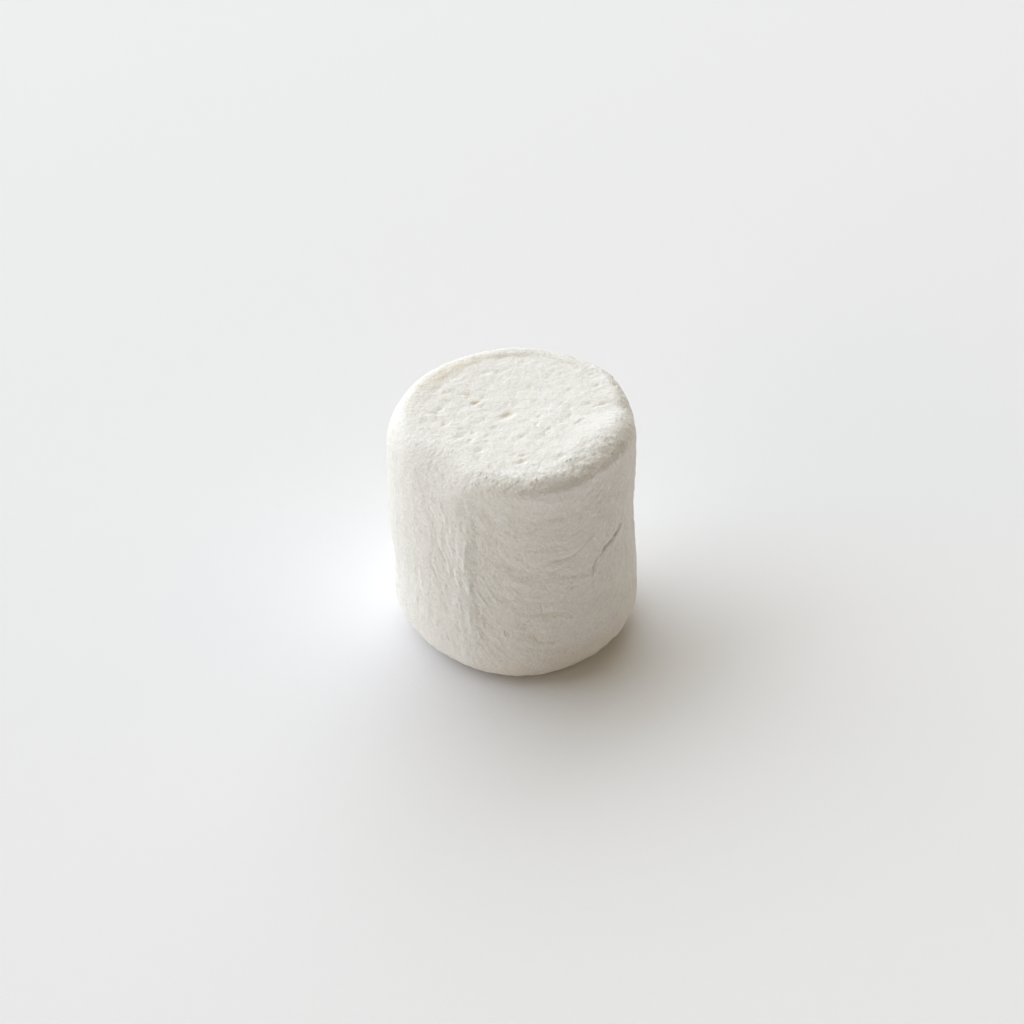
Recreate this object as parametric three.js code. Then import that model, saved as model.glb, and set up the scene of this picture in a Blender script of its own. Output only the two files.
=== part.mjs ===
// A plain white marshmallow, standing on one of its two cut ends.
//
// Millimetres, +Z up. The origin is on the surface it stands on, under the middle of its
// outline. Angles are in degrees round +Z, from +X: 90 is the back, 180 the left side and
// 270 the front.
//
// A rope of marshmallow is extruded, dusted with starch and cut to length. The skin of the
// side rolls over both cut edges, and the soft rope takes shallow dents on its way. So the
// body is a short cylinder whose radius, rim and foot change slowly round it.

import * as THREE from 'three';
import { ParametricGeometry } from 'three/addons/geometries/ParametricGeometry.js';

// ---- Driving dimensions ----

const ropeRadius = 13.75;

// The foot sits a little to the right of the crown: the axis bends below this level.
const leanBelow = 16;
const leanAbove = 1;
const leanFoot = 0.45;

// Swells and dents of the side: the angle they lie at and how wide they spread, the level
// they lie at and how far they reach above and below it, and how far they stand out.
const sideSwells = [
  { at: 0, spread: 40, level: 15.5, reach: 5, rise: -0.15 },    // waist, right
  { at: 0, spread: 50, level: 6, reach: 4, rise: 0.15 },        // belly over the foot, right
  { at: 186, spread: 34, level: 8.5, reach: 4, rise: -0.32 },   // tuck over the foot, left
  { at: 229, spread: 9, level: 22, reach: 5, rise: -0.14 },     // groove, front left
  { at: 238, spread: 6, level: 14, reach: 8, rise: -0.15 },     // hollow before the fold
  { at: 247, spread: 9, level: 18, reach: 8, rise: 0.16 },      // soft fold beside it
  { at: 110, spread: 50, level: 13, reach: 7, rise: -0.25 },    // waist, back
  { at: 289, spread: 34, level: 26.2, reach: 2.3, rise: 0.46 }, // shoulder over the neck
];

// The cutter pressed the crown out of round: a corner at the front, a flat beside it.
const crownFrom = 17;
const crownTo = 26;
const crownOutline = [
  { at: 317, spread: 18, rise: -0.45 },
  { at: 280, spread: 18, rise: 0.3 },
];

// The rim is the crest of the skin that rolls over the cut edge. It stands up as a lip at
// the back, sags a little at the front, and has a ridge and a notch at the right.
const rimHeight = {
  mean: 27.45,
  waves: [
    { at: 90, spread: 20, rise: 0.2 },
    { at: 192, spread: 26, rise: -0.15 },
    { at: 225, spread: 30, rise: -0.15 },
    { at: 285, spread: 25, rise: -0.15 },
    { at: 342, spread: 16, rise: 0.35 },
    { at: 4, spread: 7, rise: -0.25 },
    { at: 42, spread: 20, rise: 0.2 },
  ],
};

// How far inside the side the rim's crest lies, and how far above the side's upper end. The
// rim is a broad soft shoulder at the front left and tight at the back.
const rimInset = {
  mean: 2.2,
  waves: [
    { at: 163, spread: 30, rise: 0.5 },
    { at: 232, spread: 20, rise: 1.6 },
    { at: 75, spread: 24, rise: -0.9 },
    { at: 38, spread: 16, rise: -0.8 },
    { at: 272, spread: 11, rise: -0.3 },
    { at: 318, spread: 22, rise: 1.3 },
  ],
};
const rimDrop = {
  mean: 2.0,
  waves: [
    { at: 163, spread: 36, rise: 2.0 },
    { at: 230, spread: 24, rise: 2.1 },
    { at: 78, spread: 26, rise: -0.9 },
    { at: 38, spread: 14, rise: -0.7 },
    { at: 272, spread: 11, rise: -0.5 },
    { at: 3, spread: 18, rise: 1.3 },
  ],
};

// How full the roundings are: 2 is a quarter of an ellipse, less is nearer to a chamfer.
const rimFullness = {
  mean: 2,
  waves: [{ at: 230, spread: 26, rise: -0.25 }],
};
const footFullness = {
  mean: 2,
  waves: [{ at: 300, spread: 42, rise: 0.9 }],
};

// How wide the band is that joins the rim's crest to the cut face.
const lipWidth = {
  mean: 1.2,
  waves: [
    { at: 222, spread: 34, rise: 1.4 },
    { at: 335, spread: 28, rise: 2.6 },
    { at: 165, spread: 30, rise: 0.8 },
  ],
};

// The cut face is nearly level and sunk a little at its middle.
const faceHeight = 27.4;
const faceRiseToBack = 0.012;
const faceHollow = { x: -1, y: 1, reach: 6.7, depth: 0.3 };

// The foot: how far its round runs in under the side, and how far up.
const footInset = {
  mean: 3.0,
  waves: [
    { at: 210, spread: 44, rise: 1.6 },
    { at: 335, spread: 42, rise: 1.5 },
    { at: 310, spread: 28, rise: 1.0 },
  ],
};
const footRise = {
  mean: 2.7,
  waves: [
    { at: 203, spread: 46, rise: 2.4 },
    { at: 335, spread: 42, rise: 1.2 },
    { at: 310, spread: 28, rise: 0.5 },
  ],
};

// Facets: round the body, and in each band from the middle of the top to the base.
const facetsRound = 96;
const rowsOf = { face: 8, lip: 4, rim: 9, side: 16, foot: 6, base: 1 };

// ---- The surface ----

// 1 at the angle it lies at, falling smoothly to 0 on both sides.
function swell(angle, { at, spread }) {
  const apart = THREE.MathUtils.euclideanModulo(angle - at + 180, 360) - 180;
  return Math.exp(-((apart / spread) ** 2));
}

// The size of a feature of the rim or the foot at one angle.
function sizeAt(angle, { mean, waves }) {
  return waves.reduce((sum, wave) => sum + wave.rise * swell(angle, wave), mean);
}

function sideRadius(angle, z) {
  const crown = THREE.MathUtils.smoothstep(z, crownFrom, crownTo);
  let radius = ropeRadius;
  for (const dent of sideSwells) {
    const near = Math.exp(-(((z - dent.level) / dent.reach) ** 2));
    radius += dent.rise * near * swell(angle, dent);
  }
  for (const part of crownOutline) {
    radius += part.rise * crown * swell(angle, part);
  }
  return radius;
}

function faceLevel(x, y) {
  const { reach, depth } = faceHollow;
  const apart = Math.hypot(x - faceHollow.x, y - faceHollow.y) / reach;
  return faceHeight + faceRiseToBack * y - depth * Math.exp(-apart * apart);
}

function axisShift(z) {
  return leanFoot * (1 - THREE.MathUtils.smoothstep(z, leanAbove, leanBelow));
}

// A quarter turn round an edge: what is left of the one way, and what is done of the other.
function rounding(t, fullness) {
  const left = Math.max(Math.cos(t * Math.PI / 2), 0);
  const done = Math.sin(t * Math.PI / 2);
  const reach = (left ** fullness + done ** fullness) ** (1 / fullness);
  return [left / reach, done / reach];
}

// The bands of the surface, each from its inner or upper end (t = 0) to its outer or lower
// end (t = 1). Each gives the radius and the height of a point at an angle.
function onFace(angle, t, cos, sin) {
  const radius = t * (crestRadius(angle) - sizeAt(angle, lipWidth));
  return [radius, faceLevel(radius * cos, radius * sin)];
}

function onLip(angle, t, cos, sin) {
  const radius = crestRadius(angle) - (1 - t) * sizeAt(angle, lipWidth);
  const climb = THREE.MathUtils.smoothstep(t, 0, 1);
  const level = faceLevel(radius * cos, radius * sin);
  return [radius, THREE.MathUtils.lerp(level, sizeAt(angle, rimHeight), climb)];
}

function onRim(angle, t) {
  const [up, out] = rounding(t, sizeAt(angle, rimFullness));
  const z = sizeAt(angle, rimHeight) - sizeAt(angle, rimDrop) * (1 - up);
  return [sideRadius(angle, z) - sizeAt(angle, rimInset) * (1 - out), z];
}

function onSide(angle, t) {
  const top = sizeAt(angle, rimHeight) - sizeAt(angle, rimDrop);
  const z = THREE.MathUtils.lerp(top, sizeAt(angle, footRise), t);
  return [sideRadius(angle, z), z];
}

function onFoot(angle, t) {
  const [out, down] = rounding(t, sizeAt(angle, footFullness));
  const z = sizeAt(angle, footRise) * (1 - down);
  return [sideRadius(angle, z) - sizeAt(angle, footInset) * (1 - out), z];
}

function onBase(angle, t) {
  return [(1 - t) * (sideRadius(angle, 0) - sizeAt(angle, footInset)), 0];
}

function crestRadius(angle) {
  return sideRadius(angle, sizeAt(angle, rimHeight)) - sizeAt(angle, rimInset);
}

const bands = [
  { rows: rowsOf.face, point: onFace },
  { rows: rowsOf.lip, point: onLip },
  { rows: rowsOf.rim, point: onRim },
  { rows: rowsOf.side, point: onSide },
  { rows: rowsOf.foot, point: onFoot },
  { rows: rowsOf.base, point: onBase },
];
const rowsInAll = bands.reduce((sum, band) => sum + band.rows, 0);

// u runs round the body and v from the middle of the cut face to the middle of the base.
function surfacePoint(u, v, target) {
  const angle = 360 * (1 - u);
  const cos = Math.cos(THREE.MathUtils.degToRad(angle));
  const sin = Math.sin(THREE.MathUtils.degToRad(angle));
  let row = v * rowsInAll;
  let band = 0;
  while (row > bands[band].rows) {
    row -= bands[band].rows;
    band += 1;
  }
  const [radius, z] = bands[band].point(angle, row / bands[band].rows, cos, sin);
  target.set(radius * cos + axisShift(z), radius * sin, z);
}

const body = new ParametricGeometry(surfacePoint, facetsRound, rowsInAll);
body.computeBoundingBox();
const middle = body.boundingBox.getCenter(new THREE.Vector3());
body.translate(-middle.x, -middle.y, 0);

// ---- The part ----

const starchedWhite = new THREE.MeshStandardMaterial({
  color: '#f1eee6',
  roughness: 0.9,
  metalness: 0,
});

const marshmallow = new THREE.Mesh(body, starchedWhite);
marshmallow.name = 'marshmallow';

const group = new THREE.Group();
group.add(marshmallow);

export default group;
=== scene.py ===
import math
from itertools import product

import bpy
import numpy as np
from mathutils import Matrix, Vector


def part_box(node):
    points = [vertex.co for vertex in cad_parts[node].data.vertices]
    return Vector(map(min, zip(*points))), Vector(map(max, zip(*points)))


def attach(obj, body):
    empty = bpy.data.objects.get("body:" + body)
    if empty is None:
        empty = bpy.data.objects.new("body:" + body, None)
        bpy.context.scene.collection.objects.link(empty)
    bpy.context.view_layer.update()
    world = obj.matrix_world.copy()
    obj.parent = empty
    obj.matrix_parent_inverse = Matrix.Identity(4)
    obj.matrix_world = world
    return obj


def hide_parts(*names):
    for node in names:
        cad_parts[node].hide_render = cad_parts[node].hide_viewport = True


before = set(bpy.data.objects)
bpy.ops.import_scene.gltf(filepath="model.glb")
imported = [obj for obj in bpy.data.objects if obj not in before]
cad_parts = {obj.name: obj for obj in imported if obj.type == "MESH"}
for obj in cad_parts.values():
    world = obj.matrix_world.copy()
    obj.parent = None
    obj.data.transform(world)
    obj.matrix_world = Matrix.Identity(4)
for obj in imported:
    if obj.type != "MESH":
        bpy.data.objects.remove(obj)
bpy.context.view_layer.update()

MM = 0.001


# ---- The foam body: shape ----------------------------------------------------------------
# A marshmallow is one piece of whipped sugar and gelatin. A soft rope is extruded, dusted
# with starch and cut to length, so its skin rolls over the two cut ends. It stands on one
# of them. Angles are degrees round +Z from +X: 90 is the back, 180 the left, 270 the front.

ROPE_RADIUS = 13.75

# The foot sits a little to the right of the crown.
LEAN_BELOW = 16
LEAN_ABOVE = 1
LEAN_FOOT = 0.45

# Swells and dents of the side: angle, spread, level, reach up and down, how far it stands out.
SIDE_SWELLS = [
    (0, 40, 15.5, 5, -0.15),  # waist, right
    (0, 50, 6, 4, 0.15),  # belly over the foot, right
    (186, 34, 8.5, 4, -0.32),  # tuck over the foot, left
    (229, 9, 22, 5, -0.14),  # groove, front left
    (238, 6, 14, 8, -0.15),  # hollow before the fold
    (247, 9, 18, 8, 0.16),  # soft fold beside it
    (110, 50, 13, 7, -0.25),  # waist, back
    (289, 34, 26.2, 2.3, 0.46),  # shoulder that hangs over the neck, front right
]

# The cutter pressed the crown out of round: angle, spread, how far it stands out.
CROWN_FROM = 17
CROWN_TO = 26
CROWN_OUTLINE = [(317, 18, -0.45), (280, 18, 0.3)]

# Sizes that change round the body: a mean, and waves of angle, spread and rise.
RIM_HEIGHT = 27.45, [
    (90, 20, 0.2),
    (192, 26, -0.15),
    (225, 30, -0.15),
    (285, 25, -0.15),
    (342, 16, 0.35),
    (4, 7, -0.25),
    (42, 20, 0.2),
]
RIM_INSET = 2.2, [
    (163, 30, 0.5),
    (232, 20, 1.6),
    (75, 24, -0.9),
    (38, 16, -0.8),
    (272, 11, -0.3),
    (318, 22, 1.3),
]
RIM_DROP = 2.0, [
    (163, 36, 2.0),
    (230, 24, 2.1),
    (78, 26, -0.9),
    (38, 14, -0.7),
    (272, 11, -0.5),
    (3, 18, 1.3),
]
LIP_WIDTH = 1.2, [(222, 34, 1.4), (335, 28, 2.6), (165, 30, 0.8)]

# How full the roundings are: 2 is a quarter of an ellipse, less is nearer to a chamfer.
RIM_FULLNESS = 2.0, [(230, 26, -0.25)]
FOOT_FULLNESS = 2.0, [(300, 42, 0.9)]
FOOT_INSET = 3.0, [(210, 44, 1.6), (335, 42, 1.5), (310, 28, 1.0)]
FOOT_RISE = 2.7, [(203, 46, 2.4), (335, 42, 1.2), (310, 28, 0.5)]

# The cut face is nearly level and sunk a little at its middle.
FACE_HEIGHT = 27.4
FACE_RISE_TO_BACK = 0.012
FACE_HOLLOW_X = -1
FACE_HOLLOW_Y = 1
FACE_HOLLOW_REACH = 6.7
FACE_HOLLOW_DEPTH = 0.3


def cos_of(angle):
    return np.cos(np.radians(angle))


def sin_of(angle):
    return np.sin(np.radians(angle))


def near(value, middle, reach):
    """1 at the middle, falling smoothly to 0 on both sides."""
    return np.exp(-(((value - middle) / reach) ** 2))


def swell(angle, at, spread):
    """1 at the angle it lies at, falling smoothly to 0 on both sides."""
    return near((angle - at + 180) % 360 - 180, 0, spread)


def size_at(angle, size):
    """A size that changes round the body, at an angle."""
    mean, waves = size
    return mean + sum(rise * swell(angle, at, spread) for at, spread, rise in waves)


def smooth_step(value, low, high):
    """0 up to the low value, 1 from the high one, and smooth between them."""
    share = np.clip((value - low) / (high - low), 0, 1)
    return share * share * (3 - 2 * share)


def side_radius(angle, z):
    radius = ROPE_RADIUS + 0 * angle
    for at, spread, level, reach, rise in SIDE_SWELLS:
        radius = radius + rise * swell(angle, at, spread) * near(z, level, reach)
    crown = smooth_step(z, CROWN_FROM, CROWN_TO)
    for at, spread, rise in CROWN_OUTLINE:
        radius = radius + rise * crown * swell(angle, at, spread)
    return radius


def crest_radius(angle):
    return side_radius(angle, size_at(angle, RIM_HEIGHT)) - size_at(angle, RIM_INSET)


def face_level(x, y):
    apart = np.hypot(x - FACE_HOLLOW_X, y - FACE_HOLLOW_Y)
    hollow = FACE_HOLLOW_DEPTH * near(apart, 0, FACE_HOLLOW_REACH)
    return FACE_HEIGHT + FACE_RISE_TO_BACK * y - hollow


def rounding(t, fullness):
    """A quarter turn round an edge: what is left of one way, and what is done of the other."""
    left = max(math.cos(t * math.pi / 2), 0)
    done = math.sin(t * math.pi / 2)
    reach = (left**fullness + done**fullness) ** (1 / fullness)
    return left / reach, done / reach


# Each band gives radius and height, from its inner or upper end (t = 0) to t = 1.
def on_face(angle, t):
    radius = t * (crest_radius(angle) - size_at(angle, LIP_WIDTH))
    return radius, face_level(radius * cos_of(angle), radius * sin_of(angle))


def on_lip(angle, t):
    radius = crest_radius(angle) - (1 - t) * size_at(angle, LIP_WIDTH)
    level = face_level(radius * cos_of(angle), radius * sin_of(angle))
    return radius, level + (size_at(angle, RIM_HEIGHT) - level) * smooth_step(t, 0, 1)


def on_rim(angle, t):
    up, out = rounding(t, size_at(angle, RIM_FULLNESS))
    z = size_at(angle, RIM_HEIGHT) - size_at(angle, RIM_DROP) * (1 - up)
    return side_radius(angle, z) - size_at(angle, RIM_INSET) * (1 - out), z


def on_side(angle, t):
    top = size_at(angle, RIM_HEIGHT) - size_at(angle, RIM_DROP)
    z = top + (size_at(angle, FOOT_RISE) - top) * t
    return side_radius(angle, z), z


def on_foot(angle, t):
    out, down = rounding(t, size_at(angle, FOOT_FULLNESS))
    z = size_at(angle, FOOT_RISE) * (1 - down)
    return side_radius(angle, z) - size_at(angle, FOOT_INSET) * (1 - out), z


def on_base(angle, t):
    return t * (side_radius(angle, 0) - size_at(angle, FOOT_INSET)), 0 * angle


def placed(angle, radius, z):
    """The points at those angles, radii and heights, on the body's leaning axis."""
    lean = LEAN_FOOT * (1 - smooth_step(z, LEAN_ABOVE, LEAN_BELOW))
    x = radius * cos_of(angle) + lean
    y = radius * sin_of(angle)
    return np.stack([x, y, z + 0 * angle], axis=-1)


# ---- The foam body: mesh -----------------------------------------------------------------
# The two cut ends are square nets drawn out to a disc, so that their cells stay even. Rings
# of the same number of points join them down the side.

NET = 120
ROUND = 4 * NET
RINGS = [(on_lip, 8), (on_rim, 20), (on_side, 96), (on_foot, 24)]

half_turns = np.linspace(-45, 45, NET + 1)
net_a, net_b = np.meshgrid(half_turns, half_turns, indexing="ij")
net_x = math.sqrt(2) * sin_of(net_a) * cos_of(net_b)
net_y = math.sqrt(2) * cos_of(net_a) * sin_of(net_b)
net_angle = np.degrees(np.arctan2(net_y, net_x))
net_t = np.minimum(np.hypot(net_x, net_y), 1)

# The net's border, turning to the left from its right-hand corner at -45 degrees.
steps = np.arange(NET)
border = np.concatenate([
    np.stack([0 * steps + NET, steps], 1),
    np.stack([NET - steps, 0 * steps + NET], 1),
    np.stack([0 * steps, NET - steps], 1),
    np.stack([steps, 0 * steps], 1),
])
round_angle = -45 + 360 * np.arange(ROUND) / ROUND

parts = [placed(net_angle, *on_face(net_angle, net_t)).reshape(-1, 3)]
angles = [net_angle.ravel()]
top_net = np.arange((NET + 1) ** 2).reshape(NET + 1, NET + 1)
count = top_net.size
rings = [top_net[border[:, 0], border[:, 1]]]
band_of = [np.zeros(top_net.size)]
for number, (band, rows) in enumerate(RINGS, start=1):
    for row in range(1, rows + 1):
        parts.append(placed(round_angle, *band(round_angle, row / rows)))
        angles.append(round_angle)
        band_of.append(np.full(ROUND, number - 1 + row / rows))
        rings.append(count + np.arange(ROUND))
        count += ROUND

inner = (slice(1, -1), slice(1, -1))
base_points = placed(net_angle[inner], *on_base(net_angle[inner], net_t[inner]))
parts.append(base_points.reshape(-1, 3))
angles.append(net_angle[inner].ravel())
band_of.append(np.full((NET - 1) ** 2, len(RINGS) + 1.0))
base_net = np.empty_like(top_net)
base_net[border[:, 0], border[:, 1]] = rings[-1]
base_net[inner] = count + np.arange((NET - 1) ** 2).reshape(NET - 1, NET - 1)

points = np.concatenate(parts)
angles = np.concatenate(angles)
band_of = np.concatenate(band_of)


def net_faces(net):
    return np.stack([net[:-1, :-1], net[1:, :-1], net[1:, 1:], net[:-1, 1:]], -1).reshape(-1, 4)


def ring_faces(upper, lower):
    return np.stack([upper, lower, np.roll(lower, -1), np.roll(upper, -1)], -1)


faces = [net_faces(top_net), net_faces(base_net)[:, ::-1]]
faces += [ring_faces(upper, lower) for upper, lower in zip(rings, rings[1:])]
faces = np.concatenate(faces)

# The middle of the outline goes over the CAD solid's.
low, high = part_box("marshmallow")
middle = (points.min(0) + points.max(0)) / 2
shift_x = (low.x + high.x) / 2 / MM - middle[0]
shift_y = (low.y + high.y) / 2 / MM - middle[1]
shift = np.array([shift_x, shift_y, 0])


def new_object(name, verts, polygons):
    """A smooth-shaded mesh object of points in millimetres."""
    mesh = bpy.data.meshes.new(name)
    mesh.from_pydata((np.asarray(verts) * MM).tolist(), [], polygons.tolist())
    mesh.polygons.foreach_set("use_smooth", [True] * len(mesh.polygons))
    mesh.update()
    made = bpy.data.objects.new(name, mesh)
    bpy.context.scene.collection.objects.link(made)
    return made


def normals_of(mesh):
    normals = np.empty(3 * len(mesh.vertices))
    mesh.vertex_normals.foreach_get("vector", normals)
    return normals.reshape(-1, 3)


# ---- The foam body: relief ---------------------------------------------------------------
# The skin was drawn out by the extruder and wrinkles along that pull. The cut face is open
# foam: lumps and burst bubbles smeared by the blade. All of it is heights in millimetres.

# The noise is drawn from a shuffled table this long, a power of two. The gain brings it to
# about -1 to 1, and a clod ends at this distance from its middle, squared.
TABLE = 256
GRAIN_GAIN = 1.6
CLOD_END = 0.3


def entry_of(cell, shuffled):
    """The table's entry for each cell of a lattice."""
    entry = shuffled[cell[:, 0] & (TABLE - 1)]
    entry = shuffled[(entry + cell[:, 1]) & (TABLE - 1)]
    return shuffled[(entry + cell[:, 2]) & (TABLE - 1)]


def grain(at, lump, seed):
    """Smooth noise, about -1 to 1, whose lumps are so many millimetres across."""
    rng = np.random.default_rng(seed)
    shuffled = rng.permutation(TABLE)
    slopes = rng.normal(size=(TABLE, 3))
    slopes /= np.linalg.norm(slopes, axis=1, keepdims=True)
    place = at / lump
    cell = np.floor(place).astype(int)
    inside = place - cell
    ease = inside**3 * (inside * (inside * 6 - 15) + 10)
    total = np.zeros(len(at))
    for corner in product((0, 1), repeat=3):
        slope = slopes[entry_of(cell + corner, shuffled)]
        share = np.prod(np.where(corner, ease, 1 - ease), axis=1)
        total += share * np.einsum("ij,ij->i", slope, inside - corner)
    return GRAIN_GAIN * total


def clods(at, apart, seed):
    """Rounded clods so many millimetres apart: high in the middle of each, low between them."""
    rng = np.random.default_rng(seed)
    shuffled = rng.permutation(TABLE)
    middles = rng.random((TABLE, 3))
    place = at / apart
    cell = np.floor(place).astype(int)
    nearest = np.full(len(at), np.inf)
    for corner in product((-1, 0, 1), repeat=3):
        index = cell + corner
        middle = index + middles[entry_of(index, shuffled)]
        nearest = np.minimum(nearest, ((middle - place) ** 2).sum(1))
    return CLOD_END - nearest


# Burst bubbles of the cut face: place across, place back, breadth, depth.
PITS = [
    (-0.45, -0.4, 0.61, 0.26),
    (-10.1, 1.6, 0.39, 0.13),
    (-9.5, -2.0, 0.39, 0.14),
    (-7.9, 0.4, 0.33, 0.1),
    (-6.3, 6.8, 0.39, 0.13),
    (-5.7, -5.0, 0.39, 0.13),
    (-4.0, 2.0, 0.39, 0.11),
    (-3.3, -7.5, 0.5, 0.16),
    (-3.0, 8.0, 0.33, 0.1),
    (1.1, -9.8, 0.39, 0.13),
    (4.5, 6.1, 0.39, 0.11),
    (6.0, 9.9, 0.44, 0.13),
    (9.5, 5.1, 0.44, 0.14),
    (6.4, 0.8, 0.39, 0.11),
    (2.7, 9.5, 0.33, 0.1),
]

# How long and how wide a burst bubble is for its breadth.
PIT_LENGTH = 1.4
PIT_WIDTH = 0.75

# The blade went this way across the face, and drew its lumps out this much.
BLADE_HEADING = 36
BLADE_SMEAR = 1.4

# What the cut laid open, from its large lumps to its fine curds: how large each kind is, and
# how high it stands. The clods are pushed out of their rows, and the blade left gouges.
CLOD_SIZE = 1.2
CLOD_HEIGHT = 0.11
CLOD_PUSH = 0.25
LUMP_SIZE = 2.2
LUMP_HEIGHT = 0.06
CURD_SIZE = 0.8
CURD_HEIGHT = 0.02
GOUGE_SIZE = 0.9
GOUGE_DEPTH = 0.11
GOUGE_FROM = 0.3
GOUGE_TO = 0.8

# The starch lies thicker towards the back, and fills this share of the relief there.
FILLED_FROM = 1
FILLED_TO = 11
FILLED_SHARE = 0.45


def blade_way(x, y):
    """How far along the blade's way a point is, and how far across it."""
    along = x * cos_of(BLADE_HEADING) + y * sin_of(BLADE_HEADING)
    across = y * cos_of(BLADE_HEADING) - x * sin_of(BLADE_HEADING)
    return along, across


def cut_relief(at):
    along, across = blade_way(at[:, 0], at[:, 1])
    smeared = np.stack([along / BLADE_SMEAR, across, at[:, 2]], 1)
    pushed = np.stack([grain(at, CLOD_SIZE, seed) for seed in (24, 25, 26)], 1)
    height = CLOD_HEIGHT * clods(smeared + CLOD_PUSH * pushed, CLOD_SIZE, 21)
    height += LUMP_HEIGHT * grain(smeared, LUMP_SIZE, 23)
    height += CURD_HEIGHT * grain(at, CURD_SIZE, 22)
    height -= GOUGE_DEPTH * smooth_step(-grain(smeared, GOUGE_SIZE, 27), GOUGE_FROM, GOUGE_TO)
    for x, y, breadth, depth in PITS:
        along, across = blade_way(at[:, 0] - x, at[:, 1] - y)
        in_pit = near(along, 0, PIT_LENGTH * breadth) * near(across, 0, PIT_WIDTH * breadth)
        height -= depth * in_pit
    return height * (1 - FILLED_SHARE * smooth_step(at[:, 1], FILLED_FROM, FILLED_TO))


# How steeply the skin's wrinkles rise, at angles round the body: they hang in a swag under
# the front of the rim, stand upright at the left, and swag and arch again round the back.
PULL_SLOPES = [
    (180, 90), (236, 90), (250, 97), (257, 118), (265, 138),
    (274, 150), (283, 166), (292, 180), (302, 196), (313, 216),
    (328, 240), (345, 270), (375, 315), (390, 360), (415, 410),
    (440, 450), (465, 405), (490, 360), (515, 315), (540, 270),
]

# The pull sways by about so many degrees, in patches so many millimetres across.
PULL_SWAY = 14
PULL_PATCH = 5

# How many steps it is followed in, both ways, to draw out the grain.
STRIDES = 5


def skin_pull(at):
    """The way in which the skin was drawn out, as unit vectors."""
    angle = np.degrees(np.arctan2(at[:, 1], at[:, 0]))
    turned = (angle - 180) % 360 + 180
    keys, slopes = zip(*PULL_SLOPES)
    slope = np.interp(turned, keys, slopes) + PULL_SWAY * grain(at, PULL_PATCH, 11)
    level = cos_of(slope)
    return np.stack([-sin_of(angle) * level, cos_of(angle) * level, sin_of(slope)], 1)


def combed(at, reach, lump, seed):
    """Grain drawn out along the skin's pull, over so many millimetres both ways."""
    total = grain(at, lump, seed)
    weight = 1.0
    for way in (-1, 1):
        spot = at.copy()
        for stride in range(1, STRIDES + 1):
            spot += way * reach / STRIDES * skin_pull(spot)
            share = math.cos(stride / (STRIDES + 1) * math.pi / 2)
            total = total + share * grain(spot, lump, seed)
            weight += share
    return total / math.sqrt(weight)


# Lines in the skin: points of angle and level, half width, and height. Folds go down, and
# the edges of flakes stand up. The side on the left along the way slopes more gently.
FAR_SLOPE = 0.5
LINES = [
    (
        [(331.6, 17.1), (328.6, 16.5), (323.2, 15.9), (319.5, 15.8), (316.6, 15.4), (313.8, 14.9)],
        0.19,
        -0.28,
    ),
    ([(315.5, 15.3), (312, 14.5), (310.2, 13.6), (309.5, 12.4)], 0.09, -0.13),
    (
        [(284, 16), (288.3, 16.4), (293.6, 16.3), (300.3, 16.5), (308.5, 17.9), (320, 19.5)],
        0.13,
        -0.075,
    ),
    ([(291, 14.2), (299.3, 13.7), (308, 13.2)], 0.13, -0.06),
    ([(262, 16.2), (266, 16.5), (271, 15.7), (274, 15.2)], 0.14, -0.035),
    ([(283, 11.2), (283.2, 10.3), (283, 9.5)], 0.09, -0.06),
    ([(280.5, 10.2), (278.5, 10), (276.5, 10.2)], 0.1, -0.035),
    ([(278, 7.2), (280.5, 5.9), (288.5, 5.4), (290.5, 6.6)], 0.14, -0.045),
    ([(232, 18.5), (233.9, 17.6), (237.1, 16.1), (240, 14.8)], 0.11, -0.055),
    ([(229.5, 14.9), (231.7, 13.6), (233.6, 12.4)], 0.13, -0.065),
    ([(236.5, 10), (237.8, 8.6)], 0.18, -0.06),
    ([(234, 23.5), (237.5, 21.8), (239, 20.4)], 0.14, 0.061),
    ([(241.5, 20.6), (242.4, 18.2)], 0.14, 0.061),
    ([(249, 20.9), (249.4, 18.8), (248.4, 16.7), (249, 14.9)], 0.16, 0.092),
    ([(237.3, 16.4), (240.3, 15), (240.8, 13.6)], 0.12, 0.076),
    ([(244, 14.8), (245.3, 12.8)], 0.13, 0.099),
    ([(235.8, 13.3), (237, 10.9)], 0.14, 0.076),
    ([(250.6, 14.2), (250.3, 12.1)], 0.13, 0.15),
    ([(252.8, 12.9), (255.9, 11.7), (259, 10.6)], 0.11, 0.069),
    ([(256.3, 10.7), (255.3, 9.2), (256.2, 7.3)], 0.12, 0.11),
    ([(249.5, 9.8), (250.4, 6.9)], 0.16, 0.12),
    ([(244, 11.3), (245.2, 10.5)], 0.13, 0.12),
    ([(253.4, 7.1), (254.3, 6.1)], 0.13, 0.11),
    ([(264.3, 7.6), (265.8, 6.7)], 0.12, 0.11),
    ([(270.3, 13.2), (272.2, 12.6)], 0.11, 0.092),
    ([(231, 3.9), (236.7, 4.9), (241, 4.4)], 0.3, 0.042),
]

# A line ends this many half widths from its middle, and the distance to it is kept up to a
# limit. The taper is the power by which its height falls to nothing at both ends.
LINE_REACH = 4
LINE_GAP_LIMIT = 6
LINE_TAPER = 0.6


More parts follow.
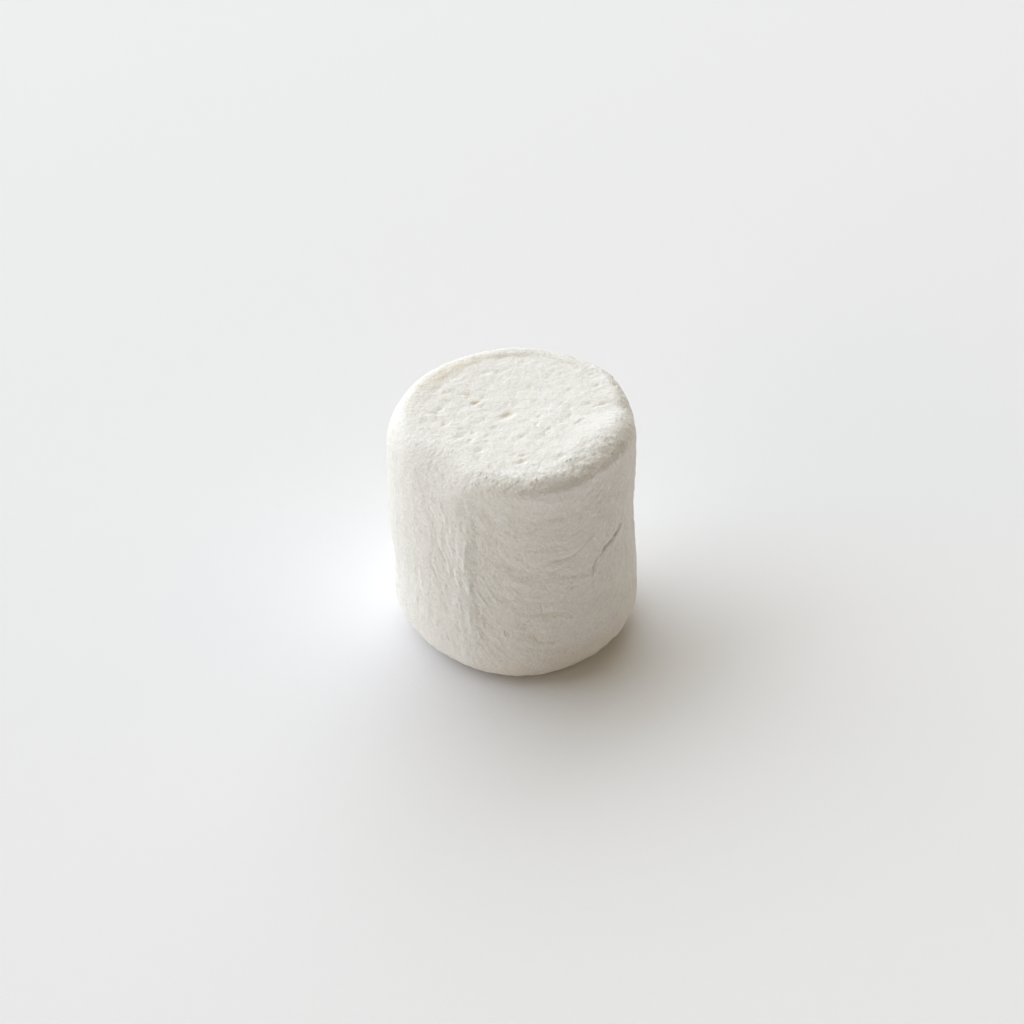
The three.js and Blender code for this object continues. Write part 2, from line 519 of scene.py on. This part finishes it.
def nearest_line(at, angle):
    """The signed distance to the nearest line in half widths, and the line's height there."""
    spot = np.stack([np.radians(angle % 360) * ROPE_RADIUS, at[:, 2]], 1)
    nearest = np.full(len(at), np.inf)
    signed = np.zeros(len(at))
    height = np.zeros(len(at))
    for path, half_width, rise in LINES:
        knots = np.array([(math.radians(turn) * ROPE_RADIUS, level) for turn, level in path])
        for number, (start, end) in enumerate(zip(knots, knots[1:])):
            run = end - start
            t = (spot - start) @ run / (run @ run)
            aside = spot - start - np.clip(t, 0, 1)[:, None] * run
            gap = np.linalg.norm(aside, axis=1) / half_width
            side = np.where(run[0] * aside[:, 1] > run[1] * aside[:, 0], FAR_SLOPE, -1)
            share = np.clip((number + t) / (len(knots) - 1), 0, 1)
            closer = gap < nearest
            nearest = np.where(closer, gap, nearest)
            signed = np.where(closer, side * gap, signed)
            height = np.where(closer, rise * np.sin(share * math.pi) ** LINE_TAPER, height)
    return np.clip(signed, -LINE_GAP_LIMIT, LINE_GAP_LIMIT), height * (nearest < LINE_REACH)


# How strongly the skin is wrinkled round the body, and how much that changes by patches.
WRINKLED = 0.8, [(325, 40, 0.6), (215, 40, -0.25)]
WRINKLED_PATCH = 5
WRINKLED_CHANGE = 0.5

# Wrinkles: how far they are drawn out, size, seed, height. Small lumps: size, seed, height.
WRINKLES = [(2.2, 1.0, 33, 0.055), (1.0, 0.45, 34, 0.05)]
SKIN_LUMPS = [(1.4, 36, 0.05), (0.6, 37, 0.03)]

# At the front left the skin lies in a sharp fold, with its edge at this angle, from the foot
# up to the shoulder. It is ragged beside the fold.
FOLD = 0, [(249, 7, 0.14)]
FOLD_EDGE = 252.5
FOLD_EDGE_PATCH = 4
FOLD_EDGE_SWAY = 0.8
FOLD_EDGE_IN = 1.2
FOLD_EDGE_OUT = 1.8
FOLD_FOOT = 2, 8
FOLD_HEAD = 18, 24
RAGS = 0, [(245, 12, 0.025)]
RAG_REACH = 0.5
RAG_SIZE = 0.6

# Where the skin rolled over the rim it stretched smoother, except at the front right.
STRETCHED_FROM = 21
STRETCHED_TO = 25.5
STRETCHED_SHARE = 0.5
UNSTRETCHED = 0, [(318, 45, 0.9)]


def skin_relief(at, angle):
    z = at[:, 2]
    patches = size_at(angle, WRINKLED) + WRINKLED_CHANGE * grain(at, WRINKLED_PATCH, 31)
    height = np.zeros(len(at))
    for reach, lump, seed, rise in WRINKLES:
        height += rise * patches * combed(at, reach, lump, seed)
    for lump, seed, rise in SKIN_LUMPS:
        height += rise * grain(at, lump, seed)
    upright = smooth_step(z, *FOLD_FOOT) * (1 - smooth_step(z, *FOLD_HEAD))
    edge = FOLD_EDGE + FOLD_EDGE_SWAY * grain(at, FOLD_EDGE_PATCH, 38)
    before_edge = 1 - smooth_step(angle % 360, edge - FOLD_EDGE_IN, edge + FOLD_EDGE_OUT)
    height += upright * size_at(angle, FOLD) * before_edge
    height += upright * size_at(angle, RAGS) * combed(at, RAG_REACH, RAG_SIZE, 35)
    stretched = smooth_step(z, STRETCHED_FROM, STRETCHED_TO) * (1 - size_at(angle, UNSTRETCHED))
    return height * (1 - STRETCHED_SHARE * stretched)


# How far over the rim the cut texture runs, in bands from the face's edge.
CUT_EDGE = 0.3, [(300, 42, 1.1), (15, 34, 0.7)]
CUT_EDGE_FADE = 0.3
CUT_EDGE_PATCH = 1.2
CUT_EDGE_SWAY = 0.25
BASE_EDGE_FADE = 0.05

# The front right of the rim broke off in crumbs where the blade left the foam: how much,
# round the body, and where. Inside the rim the left is ragged too.
BROKEN = 0, [(305, 48, 1), (20, 30, 0.6)]
BROKEN_LEVEL = 27
BROKEN_REACH = 1.1
BROKEN_FROM = 8
BROKEN_TO = 12
RAGGED = 0, [(187, 22, 0.5)]
RAGGED_RADIUS = 10.2
RAGGED_REACH = 0.7
RAGGED_ABOVE = 20
RIM_CRUMB = 0.8
RIM_CRUMB_HEIGHT = 0.12
RIM_GRAIN = 0.6
RIM_GRAIN_HEIGHT = 0.06

# A line's height comes and goes along it.
LINE_PATCH = 0.6
LINE_MEAN = 0.75
LINE_CHANGE = 0.6

# The body's weight presses the foot smooth: how much, and from where in its band to where.
PRESSED_SHARE = 0.8
PRESSED_FROM = 3.3
PRESSED_TO = 3.9

# The skin's broad unevenness.
UNEVEN_LUMP = 4
UNEVEN_HEIGHT = 0.06

edge = size_at(angles, CUT_EDGE) + CUT_EDGE_SWAY * grain(points, CUT_EDGE_PATCH, 51)
is_cut = 1 - smooth_step(band_of, edge - CUT_EDGE_FADE, edge + CUT_EDGE_FADE)
base_edge = len(RINGS)
base_cut = smooth_step(band_of, base_edge - BASE_EDGE_FADE, base_edge + BASE_EDGE_FADE)
is_cut = np.maximum(is_cut, base_cut)
is_cut[band_of == 0] = 1
is_skin = 1 - is_cut

away = np.hypot(points[:, 0], points[:, 1])
levels = points[:, 2]
broken = smooth_step(away, BROKEN_FROM, BROKEN_TO) * size_at(angles, BROKEN)
broken *= near(levels, BROKEN_LEVEL, BROKEN_REACH)
ragged = size_at(angles, RAGGED) * near(away, RAGGED_RADIUS, RAGGED_REACH)
ragged *= levels > RAGGED_ABOVE
crumbs = RIM_CRUMB_HEIGHT * clods(points, RIM_CRUMB, 41)
crumbs += RIM_GRAIN_HEIGHT * grain(points, RIM_GRAIN, 42)

line_gap, line_height = nearest_line(points, angles)
line_there = np.clip(LINE_MEAN + LINE_CHANGE * grain(points, LINE_PATCH, 43), 0, 1)
line_height *= is_skin * line_there

fine = is_cut * cut_relief(points) + is_skin * skin_relief(points, angles)
fine += (broken + ragged) * crumbs + line_height * np.exp(-(line_gap**2))
fine *= 1 - PRESSED_SHARE * smooth_step(band_of, PRESSED_FROM, PRESSED_TO) * (band_of <= base_edge)
soft = is_skin * UNEVEN_HEIGHT * grain(points, UNEVEN_LUMP, 32)
drawn = is_skin[:, None] * skin_pull(points)

# The foam's warmer, darker colour, where the starch is thin and also as painted shade: in the
# hollows, and on the slope inside the back left of the rim under the lip. Low on the front right
# of the foot it is painted shade near the floor. How much, how deep the hollows are, and where.
BARE_AND_SHADED_HOLLOWS = 0.8
HOLLOW_FROM = 0.02
HOLLOW_TO = 0.18
BARE_AND_SHADED_SLOPE = 0, [(132, 30, 1.1)]
SLOPE_RADIUS = 10.6, [(90, 30, 0.8)]
SLOPE_REACH = 0.9
PAINTED_FOOT_SHADE = 0, [(312, 50, 0.9)]
FOOT_SHADE_LOW = 0.5
FOOT_SHADE_HIGH = 6
BARE_PATCH = 1.5
BARE_CHANGE = 0.2

inside_rim = near(away, size_at(angles, SLOPE_RADIUS), SLOPE_REACH) * (band_of < 2)
foot_shade_fall = 1 - smooth_step(levels, FOOT_SHADE_LOW, FOOT_SHADE_HIGH)
# Thin starch and painted shade in the hollows of the relief.
bare_and_painted_shade = BARE_AND_SHADED_HOLLOWS * smooth_step(-fine, HOLLOW_FROM, HOLLOW_TO)
# Thin starch and painted shade inside the back left of the rim; painted shade low on the front
# right of the foot.
bare_and_painted_shade += size_at(angles, BARE_AND_SHADED_SLOPE) * inside_rim + size_at(angles, PAINTED_FOOT_SHADE) * foot_shade_fall
bare_and_painted_shade += BARE_CHANGE * grain(points, BARE_PATCH, 52)

foam = new_object("marshmallow_foam", points, faces)
foam_mesh = foam.data
points = points + normals_of(foam_mesh) * (fine + soft)[:, None]
points[:, 2] = np.maximum(points[:, 2], 0)
points = points + shift
foam_mesh.vertices.foreach_set("co", (points * MM).ravel())
foam_mesh.update()

# How deep the gaps between crumbs are on the skin, and how much deeper on the cut face and
# on the broken rim.
CRUMBLY_SKIN = 0.01
CRUMBLY_CUT = 0.015
CRUMBLY_RIM = 0.04

# How much less powder lies on the cut face.
CUT_POWDER_LESS = 0.4


def store(name, values, kind="FLOAT", field="value"):
    """Keeps a value for each point of the foam, for its finish to read."""
    foam_mesh.attributes.new(name, kind, "POINT").data.foreach_set(field, values.ravel())


smoother = STRETCHED_SHARE * smooth_step(points[:, 2], STRETCHED_FROM, STRETCHED_TO)
store("drawn", drawn, "FLOAT_VECTOR", "vector")
# The foam's warmer colour where the starch is thin, and painted shade.
store("bare_and_painted_shade", np.clip(bare_and_painted_shade, 0, 1))
store("wrinkled", is_skin * (1 - smoother))
store("crumbly", CRUMBLY_SKIN + CRUMBLY_CUT * is_cut + CRUMBLY_RIM * broken)
store("powdery", 1 - CUT_POWDER_LESS * is_cut)
store("line_gap", line_gap)
store("line_height", line_height)


# ---- The foam body: finish ---------------------------------------------------------------
# White sugar foam under a film of starch. Light goes a little way in, and where the starch is thin
# the foam's own warmer colour shows; that colour is also painted shade in the hollows, in the
# fibres' grooves, inside the back left of the rim and low on the foot, and the folds get a dark
# painted shade. The finest wrinkles follow the pull too.

FIBRE_STEP = 0.25
FIBRE_STEPS = (-3, -2, -1, 0, 1, 2, 3)
FIBRE_LUMP = 0.26
FIBRE_HEIGHT = 0.15
POWDER_LUMP = 0.4
POWDER_HEIGHT = 0.16
CRUMB_SIZE = 0.35

# How much of the light goes in, and how far.
LIGHT_IN = 0.7
LIGHT_REACH = 0.6

# The starch is white, and greyer where it clots: the powder's noise times the first number,
# plus the second.
STARCH_WHITE = (0.9, 0.886, 0.868, 1)
STARCH_GREY = (0.8, 0.782, 0.758, 1)
STARCH_CLOTTED = 2.6, -1.1

# The foam's own warmer colour, also used as painted shade; it shows along the fibres where they
# are low, as painted shade in their grooves.
FOAM_WARM_AND_PAINTED_SHADE = (0.835, 0.785, 0.7, 1)
FIBRE_GROOVE_FROM = 0.56
FIBRE_GROOVE_TO = 0.4
FIBRE_GROOVE_SHADE_SHARE = 0.3

# Painted shade deep in a fold, where hardly any light comes back: its colour, and its share for
# each millimetre of height, which is below nothing there.
FOLD_PAINTED_SHADE = (0.3, 0.26, 0.2, 1)
FOLD_PAINTED_SHADE_SHARE = -1.5


def new_material(name, roughness, specular):
    """A material, its node tree, its shader, and each point's place on the object."""
    material = bpy.data.materials.new(name)
    material.use_nodes = True
    tree = material.node_tree
    shader = tree.nodes["Principled BSDF"]
    shader.inputs["Roughness"].default_value = roughness
    shader.inputs["Specular IOR Level"].default_value = specular
    place = tree.nodes.new("ShaderNodeTexCoord").outputs["Object"]
    return material, tree, shader, place


def feed(tree, socket, value):
    """Sets a socket to a number or a colour, or links another node's output to it."""
    if isinstance(value, bpy.types.NodeSocket):
        tree.links.new(value, socket)
    else:
        socket.default_value = value


def node(tree, kind, operation=None, values=(), **inputs):
    """A new node. The values go to its first sockets, and the inputs to sockets by name."""
    made = tree.nodes.new(kind)
    if operation:
        made.operation = operation
    for socket, value in zip(made.inputs, values):
        feed(tree, socket, value)
    for name, value in inputs.items():
        feed(tree, made.inputs[name.replace("_", " ")], value)
    return made


def product_of(tree, left, right, more=0):
    """Left times right, plus more."""
    made = node(tree, "ShaderNodeMath", "MULTIPLY_ADD", (left, right, more))
    return made.outputs["Value"]


def noise(tree, place, lump, **inputs):
    """Noise whose lumps are so many millimetres across."""
    made = node(tree, "ShaderNodeTexNoise", Vector=place, Scale=1 / (lump * MM), **inputs)
    return made.outputs["Fac"]


def mixed(tree, first, second, share):
    """The first colour where the share is 0, and the second where it is 1."""
    made = tree.nodes.new("ShaderNodeMix")
    made.data_type = "RGBA"
    for name, value in (("A", first), ("B", second), ("Factor", share)):
        feed(tree, made.inputs[name], value)
    return made.outputs["Result"]


def raise_by(tree, shader, height, unit):
    """Bump of that height, which is in so many metres."""
    made = node(tree, "ShaderNodeBump", Strength=1.0, Distance=unit, Height=height)
    tree.links.new(made.outputs["Normal"], shader.inputs["Normal"])


def stored(tree, name, output="Fac"):
    """What the mesh holds under that name."""
    attribute = tree.nodes.new("ShaderNodeAttribute")
    attribute.attribute_name = name
    return attribute.outputs[output]


def fibres(tree, place):
    """Fine noise averaged along the pull, so that it reads as drawn-out strands."""
    pull = stored(tree, "drawn", "Vector")
    total = 0
    for step in FIBRE_STEPS:
        stride = [step * FIBRE_STEP * MM] * 3
        spot = node(tree, "ShaderNodeVectorMath", "MULTIPLY_ADD", (pull, stride, place))
        strand = noise(tree, spot.outputs["Vector"], FIBRE_LUMP, Detail=1.0, Roughness=0.6)
        total = product_of(tree, strand, 1 / len(FIBRE_STEPS), total)
    return total


def starched_foam():
    material, tree, shader, place = new_material("starched_foam", roughness=0.9, specular=0.2)
    shader.inputs["Subsurface Weight"].default_value = LIGHT_IN
    shader.inputs["Subsurface Radius"].default_value = (1, 1, 1)
    shader.inputs["Subsurface Scale"].default_value = LIGHT_REACH * MM

    strands = fibres(tree, place)
    powder = noise(tree, place, POWDER_LUMP, Detail=2.0, Roughness=0.6)
    crumbs = node(tree, "ShaderNodeTexVoronoi", Vector=place, Scale=1 / (CRUMB_SIZE * MM))
    between = product_of(tree, crumbs.outputs["Distance"], crumbs.outputs["Distance"])
    gap = stored(tree, "line_gap")
    on_line = node(tree, "ShaderNodeMath", "POWER", (1 / math.e, product_of(tree, gap, gap)))
    lines = product_of(tree, on_line.outputs["Value"], stored(tree, "line_height"))

    layers = [
        (product_of(tree, powder, stored(tree, "powdery")), POWDER_HEIGHT),
        (product_of(tree, strands, stored(tree, "wrinkled")), FIBRE_HEIGHT),
        (product_of(tree, between, stored(tree, "crumbly")), -1),
        (lines, 1),
    ]
    height = 0
    for layer, rise in layers:
        height = product_of(tree, layer, rise, height)
    raise_by(tree, shader, height, MM)

    # Painted shade in the fibres' grooves, where the strands are low, with the foam's warmer
    # colour.
    groove_shade = node(
        tree,
        "ShaderNodeMapRange",
        Value=strands,
        From_Min=FIBRE_GROOVE_FROM,
        From_Max=FIBRE_GROOVE_TO,
        To_Max=FIBRE_GROOVE_SHADE_SHARE,
    )
    bare_and_painted_shade_share = product_of(tree, stored(tree, "bare_and_painted_shade"), 1, groove_shade.outputs["Result"])
    clotted = product_of(tree, powder, *STARCH_CLOTTED)
    colour = mixed(tree, STARCH_WHITE, STARCH_GREY, clotted)
    # The foam's warmer colour where the starch is thin, and painted shade in hollows, grooves,
    # inside the rim and low on the foot.
    colour = mixed(tree, colour, FOAM_WARM_AND_PAINTED_SHADE, bare_and_painted_shade_share)
    # Painted shade deep in the folds.
    colour = mixed(tree, colour, FOLD_PAINTED_SHADE, product_of(tree, lines, FOLD_PAINTED_SHADE_SHARE))
    tree.links.new(colour, shader.inputs["Base Color"])
    return material


foam_mesh.materials.append(starched_foam())
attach(foam, "root")
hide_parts("marshmallow")


# ---- The starch --------------------------------------------------------------------------
# Corn starch that caked in the wrinkles and on the broken rim: small flat clumps, sunk into
# the skin and drawn out along its pull.

CLUMPS = 2200
CLUMP_SIDES = 8
CLUMP_ROWS = 3

# Half the width of the least clump, of which the widest is twice as wide. Its length and its
# thickness are shares of its width, and on the cut face it is drawn out less.
CLUMP_HALF_WIDTH = 0.05
CLUMP_DRAWN_OUT = 3.5
CLUMP_CUT_LESS = 0.7
CLUMP_THICKNESS = 0.15, 0.3
CLUMP_SUNK = 0.7
CLUMP_WOBBLE = 0.12
CLUMP_TURN = 0.25
CLUMP_STRAY = 0.1

# Where it caked: angle, spread, level, reach, how much more often than elsewhere.
CAKED = [
    (247, 9, 12, 7, 16.0),
    (262, 14, 9, 5, 5.0),
    (222, 16, 15, 7, 3.0),
    (300, 40, 27, 1.2, 5.0),
    (20, 30, 27, 1.0, 3.0),
]
CAKED_LOWEST = 0.6
CUT_FACE_LESS = 0.95

# Larger specks that hang on the rim: angle and level.
SPECKS = [(294.5, 27), (301, 27.5), (282, 27.1), (257, 27.1), (303, 27.7)]
SPECK_HALF_WIDTH = 0.17
SPECK_HALF_LENGTH = 0.2
SPECK_THICKNESS = 0.07


def clump_shape():
    """A dome of unit radius on a plane: its rings and top, and its faces."""
    turns = 360 * np.arange(CLUMP_SIDES) / CLUMP_SIDES
    dome = []
    for row in range(CLUMP_ROWS):
        up = row / CLUMP_ROWS * 90
        ring = cos_of(up)
        dome += [(ring * cos_of(turn), ring * sin_of(turn), sin_of(up)) for turn in turns]
    top = len(dome)
    dome.append((0, 0, 1))
    cells = []
    for row in range(CLUMP_ROWS):
        for side in range(CLUMP_SIDES):
            here = row * CLUMP_SIDES + side
            after = row * CLUMP_SIDES + (side + 1) % CLUMP_SIDES
            if row == CLUMP_ROWS - 1:
                cells.append((here, after, top))
            else:
                over = after + CLUMP_SIDES
                cells += [(here, after, over), (here, over, here + CLUMP_SIDES)]
    return np.array(dome), np.array(cells)


rng = np.random.default_rng(61)
often = np.ones(len(points))
for at, spread, level, reach, more in CAKED:
    often += more * swell(angles, at, spread) * near(points[:, 2], level, reach)
often *= points[:, 2] > CAKED_LOWEST
often *= 1 - CUT_FACE_LESS * is_cut * (band_of < 1)
seats = rng.choice(len(points), CLUMPS, p=often / often.sum())
for number, (at, level) in enumerate(SPECKS):
    apart = np.hypot(ROPE_RADIUS * sin_of(angles - at), points[:, 2] - level)
    elsewhere = (cos_of(angles - at) < 0) | (band_of < 1)
    seats[number] = np.argmin(np.where(elsewhere, np.inf, apart))
outward = normals_of(foam_mesh)[seats]
along = drawn[seats] + CLUMP_TURN * rng.normal(size=(CLUMPS, 3))
along -= outward * np.einsum("ij,ij->i", along, outward)[:, None]
along /= np.linalg.norm(along, axis=1, keepdims=True)
across = np.cross(outward, along)

drawn_out = CLUMP_DRAWN_OUT * (1 - CLUMP_CUT_LESS * is_cut[seats])
width = CLUMP_HALF_WIDTH * (1 + rng.random(CLUMPS) ** 2)
length = width * (1 + drawn_out * rng.random(CLUMPS) ** 2)
thick = width * rng.uniform(*CLUMP_THICKNESS, CLUMPS)
width[:len(SPECKS)] = SPECK_HALF_WIDTH
length[:len(SPECKS)] = SPECK_HALF_LENGTH
thick[:len(SPECKS)] = SPECK_THICKNESS

dome, cells = clump_shape()
spots = dome * (1 + CLUMP_WOBBLE * rng.normal(size=(CLUMPS, len(dome), 1)))
spots[..., 2] = spots[..., 2] * (1 + CLUMP_SUNK) - CLUMP_SUNK
spots *= np.stack([length, width, thick], axis=1)[:, None]
axes = np.stack([along, across, outward], axis=1)
centre = points[seats] + CLUMP_STRAY * rng.normal(size=(CLUMPS, 1)) * along
clump_points = centre[:, None] + spots @ axes
clump_faces = cells + len(dome) * np.arange(CLUMPS)[:, None, None]
starch = new_object("starch_clumps", clump_points.reshape(-1, 3), clump_faces.reshape(-1, 3))

CAKED_PATCH = 0.4
CAKED_WHITE = (0.9, 0.895, 0.875, 1)
CAKED_WARM = (0.87, 0.855, 0.81, 1)


def caked_starch():
    material, tree, shader, place = new_material("caked_starch", roughness=0.95, specular=0.15)
    patches = noise(tree, place, CAKED_PATCH, Detail=2.0)
    colour = mixed(tree, CAKED_WHITE, CAKED_WARM, patches)
    tree.links.new(colour, shader.inputs["Base Color"])
    return material


starch.data.materials.append(caked_starch())
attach(starch, "root")


# ---- The table ---------------------------------------------------------------------------
# A sheet of white drawing paper, wide enough to fill every view. It lies flat, and its fine
# tooth comes from the felt that it was pressed on.

PAPER_SIZE = 3000
PAPER_WHITE = (0.868, 0.864, 0.888, 1)
PAPER_TOOTH = 0.5
PAPER_TOOTH_HEIGHT = 0.02


def white_paper():
    material, tree, shader, place = new_material("white_paper", roughness=0.9, specular=0.1)
    shader.inputs["Base Color"].default_value = PAPER_WHITE
    tooth = noise(tree, place, PAPER_TOOTH, Detail=2.0, Roughness=0.55)
    raise_by(tree, shader, tooth, PAPER_TOOTH_HEIGHT * MM)
    return material


half = PAPER_SIZE / 2
corners = [(-half, -half, 0), (half, -half, 0), (half, half, 0), (-half, half, 0)]
paper = new_object("paper", corners, np.array([[0, 1, 2, 3]]))
paper.data.materials.append(white_paper())


# ---- The light ---------------------------------------------------------------------------
# A wall of windows behind on the left and the sky above it, a warm room at the right, and a
# pale wall low on the left that sends some light back.

LIGHT_DISTANCE = 3.0

# Name, angle, elevation, width and height in metres, power in watts, colour.
LIGHTS = [
    ("left_windows", 135, 42, 7.8, 3.0, 139, (0.75, 0.85, 1)),
    ("back_windows", 115, 50, 6.6, 4.2, 100, (1, 0.94, 0.78)),
    ("right_wall", 8, 30, 2.4, 2.1, 11, (1, 0.92, 0.6)),
    ("room", 315, 25, 2.7, 2.1, 8, (1, 0.68, 0.5)),
    ("left_wall", 215, 15, 2.7, 1.2, 25, (1, 0.91, 0.7)),
]

for name, angle, elevation, width, height, power, colour in LIGHTS:
    lamp = bpy.data.lights.new(name, "AREA")
    lamp.shape = "RECTANGLE"
    lamp.size = width
    lamp.size_y = height
    lamp.energy = power
    lamp.color = colour
    light = bpy.data.objects.new(name, lamp)
    bpy.context.scene.collection.objects.link(light)
    level = cos_of(elevation)
    toward = Vector((cos_of(angle) * level, sin_of(angle) * level, sin_of(elevation)))
    light.location = LIGHT_DISTANCE * toward
    light.rotation_euler = toward.to_track_quat("Z", "Y").to_euler()

# Beyond the paper the camera sees a pale wall, which gives no light of its own.
WALL_COLOUR = (0.8, 0.8, 0.81, 1)

backdrop = bpy.data.worlds.new("backdrop")
backdrop.use_nodes = True
wall_tree = backdrop.node_tree
wall = wall_tree.nodes["Background"]
wall.inputs["Color"].default_value = WALL_COLOUR
ray = wall_tree.nodes.new("ShaderNodeLightPath")
wall_tree.links.new(ray.outputs["Is Camera Ray"], wall.inputs["Strength"])
bpy.context.scene.world = backdrop
bpy.context.scene.view_settings.view_transform = "Standard"


# ---- The camera --------------------------------------------------------------------------
# A long lens from the front, looking down on the top. It stands far off, so that the sides
# of the body look nearly upright.

CAMERA_TARGET = Vector((-0.21, 0.12, 14)) * MM
CAMERA_DISTANCE = 330 * MM
CAMERA_ELEVATION = 35
VIEW_WIDTH = 114.7 * MM
SENSOR = 36

lens = bpy.data.cameras.new("camera")
lens.sensor_width = SENSOR
lens.lens = SENSOR * CAMERA_DISTANCE / VIEW_WIDTH
lens.clip_start = 0.01
camera = bpy.data.objects.new("camera", lens)
bpy.context.scene.collection.objects.link(camera)
back = Vector((0, -cos_of(CAMERA_ELEVATION), sin_of(CAMERA_ELEVATION)))
camera.location = CAMERA_TARGET + CAMERA_DISTANCE * back
camera.rotation_euler = back.to_track_quat("Z", "Y").to_euler()
bpy.context.scene.camera = camera
